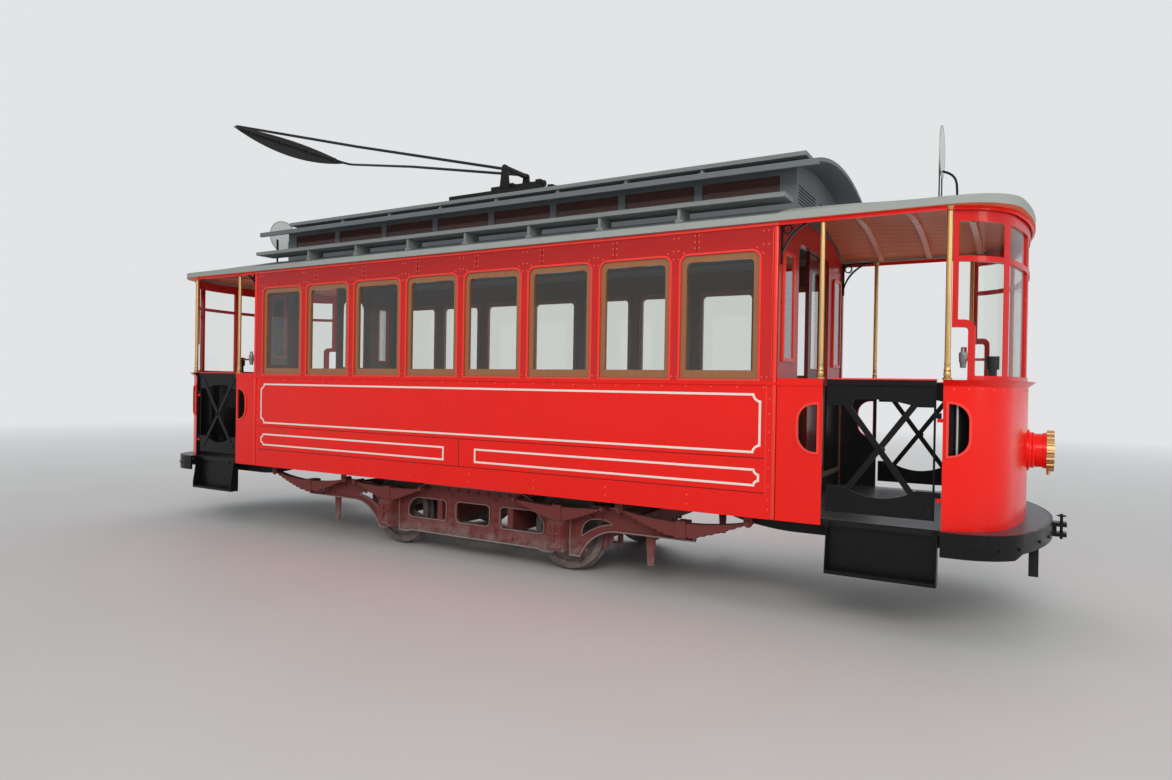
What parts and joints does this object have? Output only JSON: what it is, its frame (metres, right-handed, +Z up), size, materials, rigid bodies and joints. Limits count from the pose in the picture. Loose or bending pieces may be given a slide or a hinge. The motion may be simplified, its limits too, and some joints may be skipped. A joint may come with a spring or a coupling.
{
  "type": "two-axle open-platform tram",
  "caption": "Two-axle tram with a glazed saloon, open end platforms with gates, a raised clerestory roof, a rooftop bow collector and a leaf-sprung truck.",
  "frame": {"origin": "bottom centre of the bounding box, level with the bottom of the wheel flanges, 20 mm below the rail head", "axes": "+X along the car towards the end with the route plate, +Y across it to the side away from the picture's camera, +Z up"},
  "size_m": [9.468, 2.25, 4.6908],
  "materials": {
    "scarlet": "gloss",
    "crimson": "gloss",
    "black": "satin",
    "grey_paint": "satin",
    "deck_grey": "satin",
    "truck_brown": "dusty",
    "boards": "weathered",
    "varnished_wood": "varnished",
    "floor_boards": "worn",
    "glass": "clear",
    "brass": "polished",
    "wheel_steel": "worn",
    "motor_iron": "dull",
    "contact_metal": "worn",
    "plate_white": "satin"
  },
  "bodies": {
    "car": {"axle_boxes": "truck_brown", "benches": "varnished_wood", "brake_columns": "black", "brake_gear": "truck_brown", "bulkhead_panes": "glass", "bulkhead_sashes": "varnished_wood", "bulkheads": "scarlet", "bumper_straps": "black", "bumpers": "black", "canopies": "grey_paint", "canopy_frames": "scarlet", "clerestory_walls": "deck_grey", "collector_base": "black", "controllers": "black", "corner_panels": "scarlet", "couplers": "black", "dashes": "scarlet", "gate_hinges": "scarlet", "guard_plates": "truck_brown", "headlamp_lenses": "glass", "headlamp_rims": "brass", "headlamps": "scarlet", "leaf_springs": "truck_brown", "lower_roof": "grey_paint", "motors": "motor_iron", "platform_bearers": "black", "platform_floors": "floor_boards", "platform_poles": "brass", "roof_boards": "boards", "route_plate": "plate_white", "saloon_floor": "floor_boards", "scroll_brackets": "black", "side_panes": "glass", "side_walls": "scarlet", "steps": "black", "truck_crossbeams": "truck_brown", "truck_frames": "truck_brown", "underframe": "black", "upper_roof": "deck_grey", "vent_panes": "glass", "window_sashes": "varnished_wood", "windscreen_panes": "glass", "windscreens": "crimson"},
    "wheelset_front": {"wheelset_front": "wheel_steel"},
    "wheelset_rear": {"wheelset_rear": "wheel_steel"},
    "bow": {"collector_bow": "wheel_steel", "collector_pan": "contact_metal"},
    "gate_front_near": {"gate_front_near": "black"},
    "door_near_front": {"door_near_front": "crimson", "door_pane_near_front": "glass"},
    "gate_front_far": {"gate_front_far": "black"},
    "door_far_front": {"door_far_front": "crimson", "door_pane_far_front": "glass"},
    "gate_rear_near": {"gate_rear_near": "black"},
    "door_near_rear": {"door_near_rear": "crimson", "door_pane_near_rear": "glass"},
    "gate_rear_far": {"gate_rear_far": "black"},
    "door_far_rear": {"door_far_rear": "crimson", "door_pane_far_rear": "glass"}
  },
  "joints": [
    {"name": "axle_front_turn", "type": "hinge", "parent": "car", "child": "wheelset_front", "pos_m": [1, 0, 0.37], "axis": [0, 1, 0], "continuous": true},
    {"name": "axle_rear_turn", "type": "hinge", "parent": "car", "child": "wheelset_rear", "pos_m": [-1, 0, 0.37], "axis": [0, 1, 0], "continuous": true},
    {"name": "gate_front_near_swing", "type": "hinge", "parent": "car", "child": "gate_front_near", "pos_m": [3.986, -1.042, 0], "axis": [0, 0, -1], "range_deg": [0, 90]},
    {"name": "door_near_front_slide", "type": "slide", "parent": "car", "child": "door_near_front", "axis": [0, 1, 0], "range_m": [0, 0.49]},
    {"name": "gate_front_far_swing", "type": "hinge", "parent": "car", "child": "gate_front_far", "pos_m": [3.986, 1.042, 0], "axis": [0, 0, 1], "range_deg": [0, 90]},
    {"name": "door_far_front_slide", "type": "slide", "parent": "car", "child": "door_far_front", "axis": [0, 1, 0], "range_m": [0, 0.49]},
    {"name": "gate_rear_near_swing", "type": "hinge", "parent": "car", "child": "gate_rear_near", "pos_m": [-3.986, -1.042, 0], "axis": [0, 0, 1], "range_deg": [0, 90]},
    {"name": "door_near_rear_slide", "type": "slide", "parent": "car", "child": "door_near_rear", "axis": [0, 1, 0], "range_m": [0, 0.49]},
    {"name": "gate_rear_far_swing", "type": "hinge", "parent": "car", "child": "gate_rear_far", "pos_m": [-3.986, 1.042, 0], "axis": [0, 0, -1], "range_deg": [0, 90]},
    {"name": "door_far_rear_slide", "type": "slide", "parent": "car", "child": "door_far_rear", "axis": [0, 1, 0], "range_m": [0, 0.49]},
    {"name": "bow_lift", "type": "hinge", "parent": "car", "child": "bow", "pos_m": [-0.19, 0, 3.85], "axis": [0, 1, 0], "range_deg": [-10, 70]}
  ]
}
